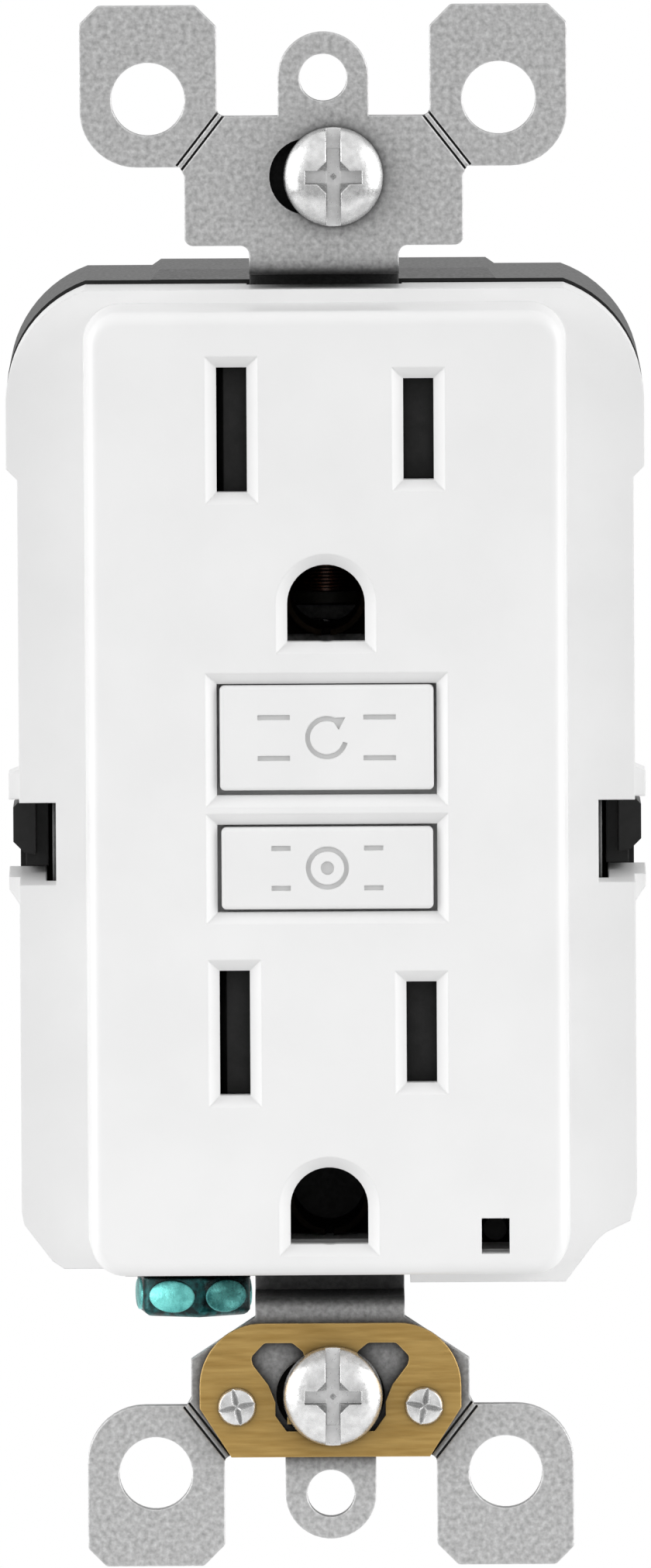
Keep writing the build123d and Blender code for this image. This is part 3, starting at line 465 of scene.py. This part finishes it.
def ring_mark(start, sweep):
    """Engraved ring, open where the sweep is less than a whole turn."""
    tool = bmesh.new()
    add_arc_bar(tool, MARK_RADIUS - MARK_STROKE / 2, MARK_RADIUS + MARK_STROKE / 2, MARK_DEPTH, start, sweep)
    return tool


def disc_mark(radius, corners, place, turn):
    """Engraved disc, or an arrow head when it has three corners."""
    tool = bmesh.new()
    bmesh.ops.create_cone(tool, cap_ends=True, segments=corners, radius1=radius * MM, radius2=radius * MM,
                          depth=2 * MARK_DEPTH * MM)
    return put(tool, Matrix.Rotation(turn, 4, "Z"), Vector(place) * MM)


def make_button(node, marks):
    """Cap of a button with its marks cut in."""
    low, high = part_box(node)
    shape = bmesh.new()
    shape.from_mesh(nodes[node].data)
    bmesh.ops.remove_doubles(shape, verts=shape.verts[:], dist=MERGE_DISTANCE)
    middle = Vector((0, low.y, (low.z + high.z) / 2))
    shape = carve(shape, [put(mark, FACING_OUT, middle) for mark in marks])
    # the floors of the marks take the painted shade
    bottom = low.y + MARK_DEPTH * MM
    for face in shape.faces:
        if abs(face.calc_center_median().y - bottom) < 0.02 * MM and abs(face.normal.y) > 0.9:
            face.material_index = 1
    new_piece(node + "_marked", shape, node, replaced=[node], materials=[FINISH["white_plastic"], MARK_FLOOR_SHADED])


make_button("reset_button", [bars_beside_mark(RESET_MARK_ROW, RESET_MARK_REACH),
                             ring_mark(math.radians(60), math.radians(285)),
                             disc_mark(0.55, 3, (0.80, 1.08, 0), math.radians(62))])
make_button("test_button", [bars_beside_mark(TEST_MARK_ROW, TEST_MARK_REACH), ring_mark(0, math.tau),
                            disc_mark(0.45, 24, (0, 0, 0), 0)])


# ---------------------------------------------------------------- screws and rivets
def combination_recess(crown):
    """Shapes that cut a full-width slot, a cross with slanted corners and a pointed middle."""
    slot, wide, tall, corners, point = (bmesh.new() for _ in range(5))
    add_box(slot, (-0.50, -3.7, crown - 1.28), (0.50, 3.7, crown + 0.3))
    add_box(wide, (-1.95, -0.46, crown - 1.30), (1.95, 0.46, crown + 0.31))
    add_box(tall, (-0.46, -1.95, crown - 1.32), (0.46, 1.95, crown + 0.32))
    for tool, bottom, foot, mouth in ((corners, crown - 1.20, 0.75, 1.75), (point, crown - 1.60, 0.05, 1.15)):
        bmesh.ops.create_cone(tool, cap_ends=True, segments=4, radius1=foot * MM, radius2=mouth * MM,
                              depth=(crown + 0.1 - bottom) * MM)
        put(tool, Matrix.Identity(4), (0, 0, (bottom + crown + 0.1) / 2 * MM))
    return [slot, wide, tall, corners, point]


def paint_recess_light_and_shade(shape, low, top):
    """Between two heights in mm: painted shade on a recess's upright walls, painted light on its floors."""
    for face in shape.faces:
        middle = face.calc_center_median()
        reach = Vector((middle.x, middle.y, 0))
        if middle.z < low * MM:
            continue
        if abs(face.normal.z) < 0.35 and face.normal.dot(reach) <= 0.3 * reach.length:
            face.material_index = 1
        elif middle.z < top * MM and (face.normal.z > 0.97 or reach.length < 1.3 * MM):
            face.material_index = 2


BOX_SCREW_CROWN = 1.95
BOX_SCREW_RIM = 0.42
BOX_SCREW_CREST = 1.75


def join_shank(screw, outline, crest, start, end):
    """Adds a turned core and the thread that winds round it, in millimetres."""
    core, ridge = bmesh.new(), bmesh.new()
    add_turned(core, outline)
    join(screw, core)
    add_thread(ridge, crest, start, end)
    join(screw, ridge)


def make_box_screw(node):
    """Oval head with a combination recess on a threaded shank, standing at the CAD screw's place."""
    low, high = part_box(node)
    head_r = (high.x - low.x) / 2 / MM
    crown, rim = BOX_SCREW_CROWN, BOX_SCREW_RIM
    length = (high.y - low.y) / MM - crown
    bend = [(head_r * math.cos(t), rim + (crown - rim) * math.sin(t)) for t in
            (math.pi / 2 * i / 14 for i in range(15))]
    head = bmesh.new()
    add_turned(head, [(0, 0.05), (head_r - 0.15, 0.05), (head_r, 0.22)] + bend[:-1] + [(0, crown)], steps=72)
    screw = carve(head, combination_recess(crown))
    paint_recess_light_and_shade(screw, 0.40, 1.70)
    core = [(0, -length), (0.95, -length), (1.32, -length + 0.5), (1.32, 0.3), (0, 0.3)]
    join_shank(screw, core, BOX_SCREW_CREST, -length + 0.7, -0.3)
    place = Vector(((low.x + high.x) / 2, low.y + crown * MM, (low.z + high.z) / 2))
    put(screw, FACING_OUT, place)
    new_piece(node + "_cut", screw, node, replaced=[node], materials=[FINISH["screw_zinc"], RECESS_WALL_SHADED, RECESS_FLOOR_LIT])


def make_rivets():
    """Both rivets of the clip: staked heads, shanks and closed tails."""
    low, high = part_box("clip_rivets")
    length = (high.y - low.y) / MM
    rivets = bmesh.new()
    for x, turn in ((low.x + 1.3 * MM, 0.22), (high.x - 1.3 * MM, -0.20)):
        head = bmesh.new()
        add_turned(head, [(0, -0.41), (1.30, -0.41), (1.30, -0.28), (1.18, -0.10), (0.80, 0), (0, 0.02)], steps=32)
        stakes = []
        for across in (0, math.pi / 2):
            stake = bmesh.new()
            add_box(stake, (-0.16, -1.5, -0.16), (0.16, 1.5, 0.16))
            put(stake, Matrix.Rotation(turn + across, 4, "Z") @ Matrix.Rotation(math.pi / 4, 4, "Y"), (0, 0, 0))
            stakes.append(stake)
        rivet = carve(head, stakes)
        shank = bmesh.new()
        add_turned(shank, [(0, -length), (1.05, -length), (1.20, -length + 0.15), (1.20, -length + 0.5),
                           (0.80, -length + 0.5), (0.80, -0.3), (0, -0.3)], steps=32)
        join(rivet, shank)
        put(rivet, FACING_OUT, (x, low.y, (low.z + high.z) / 2))
        join(rivets, rivet)
    new_piece("clip_rivets_staked", rivets, "clip_rivets", replaced=["clip_rivets"])


TERMINAL_HEAD_HEIGHT = 2.40
TERMINAL_CREST = 1.90


def make_terminal_screw(node, side):
    """Binding screw with a slot and cross, on a threaded shank."""
    low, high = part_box(node)
    head_r = (high.z - low.z) / 2 / MM
    length = (high.x - low.x) / MM
    head_h = TERMINAL_HEAD_HEIGHT
    head = bmesh.new()
    add_turned(head, [(0, 0), (head_r - 0.2, 0), (head_r, 0.2), (head_r, head_h - 0.7), (head_r - 0.7, head_h - 0.1),
                      (head_r - 1.4, head_h), (0, head_h)], steps=64)
    slot, cross = bmesh.new(), bmesh.new()
    add_box(slot, (-0.6, -4.3, head_h - 1.0), (0.6, 4.3, head_h + 0.2))
    add_box(cross, (-2.2, -0.6, head_h - 1.1), (2.2, 0.6, head_h + 0.2))
    screw = carve(head, [slot, cross])
    paint_recess_light_and_shade(screw, head_h - 1.2, head_h - 0.5)
    tip = head_h - length
    core = [(0, tip), (1.15, tip), (1.47, tip + 0.4), (1.47, 0.2), (0, 0.2)]
    join_shank(screw, core, TERMINAL_CREST, tip + 0.5, 0.0)
    outer = high.x if side > 0 else low.x
    place = Vector((outer - side * head_h * MM, (low.y + high.y) / 2, (low.z + high.z) / 2))
    put(screw, Matrix.Rotation(side * math.pi / 2, 4, "Y"), place)
    new_piece(node + "_cut", screw, node, replaced=[node],
              materials=[FINISH["brass_screw"], RECESS_WALL_SHADED, FINISH["brass_screw"]])


GROUND_FLAT_DISTANCE = 3.70
GROUND_HEAD_DEPTH = 2.85
GROUND_HEAD_TURN = math.radians(6.6)
GROUND_PAD_SIZE = (1.76, 1.14, 1.0)
GROUND_CREST = 2.40


def make_ground_screw():
    """Hexagonal head with an oval pad on each side, on a threaded shank."""
    low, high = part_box("ground_screw")
    centre_x, centre_y = (low.x + high.x) / 2, (low.y + high.y) / 2
    flat, depth, turn = GROUND_FLAT_DISTANCE, GROUND_HEAD_DEPTH, GROUND_HEAD_TURN
    corner = flat / math.cos(math.pi / 6) * MM
    head = bmesh.new()
    hexagon = bmesh.ops.create_cone(head, cap_ends=True, segments=6, radius1=corner, radius2=corner,
                                    depth=depth * MM)["verts"]
    bmesh.ops.rotate(head, verts=hexagon, matrix=Matrix.Rotation(turn, 3, "Z"))
    bottom = [edge for edge in head.edges if all(vert.co.z < 0 for vert in edge.verts)]
    top = [edge for edge in head.edges if all(vert.co.z > 0 for vert in edge.verts)]
    for edges, reach in ((bottom, 0.62), (top, 0.30)):
        bmesh.ops.bevel(head, geom=edges, offset=reach * MM, offset_type="OFFSET", segments=4, profile=0.5,
                        affect="EDGES", material=-1)
    upright = [edge for edge in head.edges if abs(edge.verts[0].co.z - edge.verts[1].co.z) > 1.5 * MM]
    bmesh.ops.bevel(head, geom=upright, offset=0.45 * MM, offset_type="OFFSET", segments=4, profile=0.5,
                    affect="EDGES", material=-1)
    for side in range(6):
        pad = bmesh.new()
        add_turned(pad, [(0, 0.20), (0.82, 0.17), (0.95, 0.09), (1.0, -0.3), (0, -0.3)], steps=40)
        bmesh.ops.scale(pad, vec=GROUND_PAD_SIZE, verts=pad.verts[:])
        for face in pad.faces:
            face.material_index = 1
        stand = Matrix.Rotation(turn + math.radians(30 + 60 * side), 4, "Z") @ Matrix.Translation(
            (0, -flat * MM, 0)) @ FACING_OUT
        bmesh.ops.transform(pad, matrix=stand, verts=pad.verts[:])
        join(head, pad)
    root = depth / 2 - 0.2
    core = [(0, root), (2.1, root), (2.1, root + 5.5), (1.7, root + 6.0), (0, root + 6.0)]
    join_shank(head, core, GROUND_CREST, depth / 2, depth / 2 + 5.0)
    put(head, Matrix.Identity(4), (centre_x, centre_y, low.z + depth / 2 * MM))
    # body in the painted-shade green, pads in the painted-light green
    new_piece("ground_screw_cut", head, "ground_screw", replaced=["ground_screw"],
              materials=[FINISH["green_screw"], GREEN_PAD_LIT])


for box_screw in ("box_screw_top", "box_screw_bottom"):
    make_box_screw(box_screw)
make_rivets()
make_ground_screw()
for circuit in ("load", "line"):
    make_terminal_screw("screw_hot_" + circuit, 1)
    make_terminal_screw("screw_neutral_" + circuit, -1)


# ---------------------------------------------------------------- springs and winding
def make_reset_spring():
    """Coil from the button's hub back to the tray."""
    low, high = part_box("reset_spring")
    hub_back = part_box("reset_button")[1].y
    middle = Vector((0, 0, (low.z + high.z) / 2))
    spring = bmesh.new()
    add_coil(spring, 2.25, 0.30, -high.y / MM + 0.3, -hub_back / MM - 0.32, 7)
    put(spring, FACING_OUT, middle)
    piece = new_piece("reset_spring_coil", spring, "reset_spring", replaced=["reset_spring"], rides=False)
    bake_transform(piece)


def make_plunger_spring():
    """Coil from the plunger's collar to the solenoid frame."""
    low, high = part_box("plunger_spring")
    middle = (low + high) / 2
    spring = bmesh.new()
    add_coil(spring, 2.05, 0.28, low.z / MM + 0.3, high.z / MM - 0.3, 5)
    put(spring, Matrix.Identity(4), (middle.x, middle.y, 0))
    piece = new_piece("plunger_spring_coil", spring, "plunger_spring", replaced=["plunger_spring"], rides=False)
    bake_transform(piece)


def make_shutter_spring(end):
    """Stretches from the slider's end to the frame's far wall."""
    slider_low, slider_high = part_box("shutter_slider_" + end)
    low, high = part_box("shutter_springs")
    middle_z = (slider_low.z + slider_high.z) / 2
    spring = bmesh.new()
    add_coil(spring, 0.80, 0.13, slider_high.x / MM + 0.15, high.x / MM - 0.15, 8, steps=20)
    middle_y = (low.y + high.y) / 2
    put(spring, Matrix.Rotation(math.pi / 2, 4, "Y"), (0, middle_y, middle_z))
    piece = new_piece("shutter_spring_" + end, spring, "shutter_springs", replaced=["shutter_springs"], rides=False)
    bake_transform(piece)


def make_winding():
    """Close turns of enamelled wire between the bobbin's flanges."""
    low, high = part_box("solenoid_coil")
    middle = (low + high) / 2
    outer = (high.x - low.x) / 2 / MM
    winding = bmesh.new()
    add_coil(winding, outer - 0.12, 0.12, low.z / MM + 0.13, high.z / MM - 0.13, 44, steps=24, around=6)
    inside = bmesh.new()
    add_turned(inside, [(2.2, low.z / MM), (outer - 0.15, low.z / MM), (outer - 0.15, high.z / MM), (2.2, high.z / MM)])
    join(winding, inside)
    put(winding, Matrix.Identity(4), (middle.x, middle.y, 0))
    new_piece("solenoid_winding", winding, "solenoid_coil", replaced=["solenoid_coil"])


make_reset_spring()
make_plunger_spring()
for end in ("top", "bottom"):
    make_shutter_spring(end)
make_winding()


# ---------------------------------------------------------------- floor, light and camera
FLOOR_RADIUS = 0.28
FLOOR_Z = -0.105
SOFTBOX_PLACE = (0.62, -0.20, 0.14)
SOFTBOX_SIZE = (0.45, 0.60)
SOFTBOX_POWER = 2.6
STUDIO_LOW = 0.30
STUDIO_HIGH = 0.85
VIEW_HEIGHT = 0.10699
VIEW_AIM = (-0.0001, 0.0, 0.00018)
CAMERA_DISTANCE = 1.95
CAMERA_ELEVATION = math.radians(3.95)
CAMERA_ROLL = math.radians(-0.33)


def make_floor():
    """Pale round floor below the object."""
    shape = bmesh.new()
    bmesh.ops.create_circle(shape, cap_ends=True, radius=FLOOR_RADIUS, segments=96)
    bmesh.ops.translate(shape, verts=shape.verts[:], vec=(0, 0, FLOOR_Z))
    mesh = bpy.data.meshes.new("floor")
    shape.to_mesh(mesh)
    shape.free()
    floor = bpy.data.objects.new("floor", mesh)
    bpy.context.scene.collection.objects.link(floor)
    mesh.materials.append(finish("floor_paint", grey(0.80), grey(0.84), patch=20, rough=(0.6, 0.7), bump=0.0))


def make_light(name, place, aim, size, power):
    """Rectangular lamp that faces a point."""
    lamp = bpy.data.lights.new(name, "AREA")
    lamp.shape = "RECTANGLE"
    lamp.size, lamp.size_y = size
    lamp.energy = power
    holder = bpy.data.objects.new(name, lamp)
    bpy.context.scene.collection.objects.link(holder)
    holder.location = place
    holder.rotation_euler = (Vector(aim) - Vector(place)).to_track_quat("-Z", "Y").to_euler()


def make_camera():
    """Long lens in front of the object, slightly above it and slightly rolled."""
    camera = bpy.data.cameras.new("camera")
    camera.sensor_width = 36.0
    camera.lens = camera.sensor_width * CAMERA_DISTANCE / VIEW_HEIGHT
    camera.clip_end = 20.0
    holder = bpy.data.objects.new("camera", camera)
    bpy.context.scene.collection.objects.link(holder)
    aim = Vector(VIEW_AIM)
    back = Vector((0, -math.cos(CAMERA_ELEVATION), math.sin(CAMERA_ELEVATION)))
    holder.location = aim + back * CAMERA_DISTANCE
    turn = (-back).to_track_quat("-Z", "Y").to_matrix().to_4x4() @ Matrix.Rotation(CAMERA_ROLL, 4, "Z")
    holder.rotation_euler = turn.to_euler()
    bpy.context.scene.camera = holder


def make_studio():
    """White backdrop; the light on the object is dimmer from below than from above."""
    world = bpy.data.worlds.new("studio")
    world.use_nodes = True
    tree = world.node_tree
    background = tree.nodes["Background"]
    place = tree.nodes.new("ShaderNodeTexCoord")
    axes = tree.nodes.new("ShaderNodeSeparateXYZ")
    rise = tree.nodes.new("ShaderNodeMapRange")
    for socket, value in (("From Min", -0.45), ("From Max", 0.40), ("To Min", STUDIO_LOW), ("To Max", STUDIO_HIGH)):
        rise.inputs[socket].default_value = value
    rise.interpolation_type = "SMOOTHSTEP"
    seen = tree.nodes.new("ShaderNodeLightPath")
    pick = tree.nodes.new("ShaderNodeMix")
    pick.inputs["B"].default_value = 1.0
    tree.links.new(place.outputs["Generated"], axes.inputs["Vector"])
    tree.links.new(axes.outputs["Z"], rise.inputs["Value"])
    tree.links.new(rise.outputs["Result"], pick.inputs["A"])
    tree.links.new(seen.outputs["Is Camera Ray"], pick.inputs["Factor"])
    tree.links.new(pick.outputs["Result"], background.inputs["Strength"])
    background.inputs["Color"].default_value = grey(1.0)
    bpy.context.scene.world = world
    bpy.context.scene.view_settings.view_transform = "Standard"


make_floor()
make_studio()
make_camera()
across, front, height = SOFTBOX_PLACE
for light_side, light_name in ((-1, "left_softbox"), (1, "right_softbox")):
    make_light(light_name, (light_side * across, front, height), (0, 0, 0), SOFTBOX_SIZE, SOFTBOX_POWER)
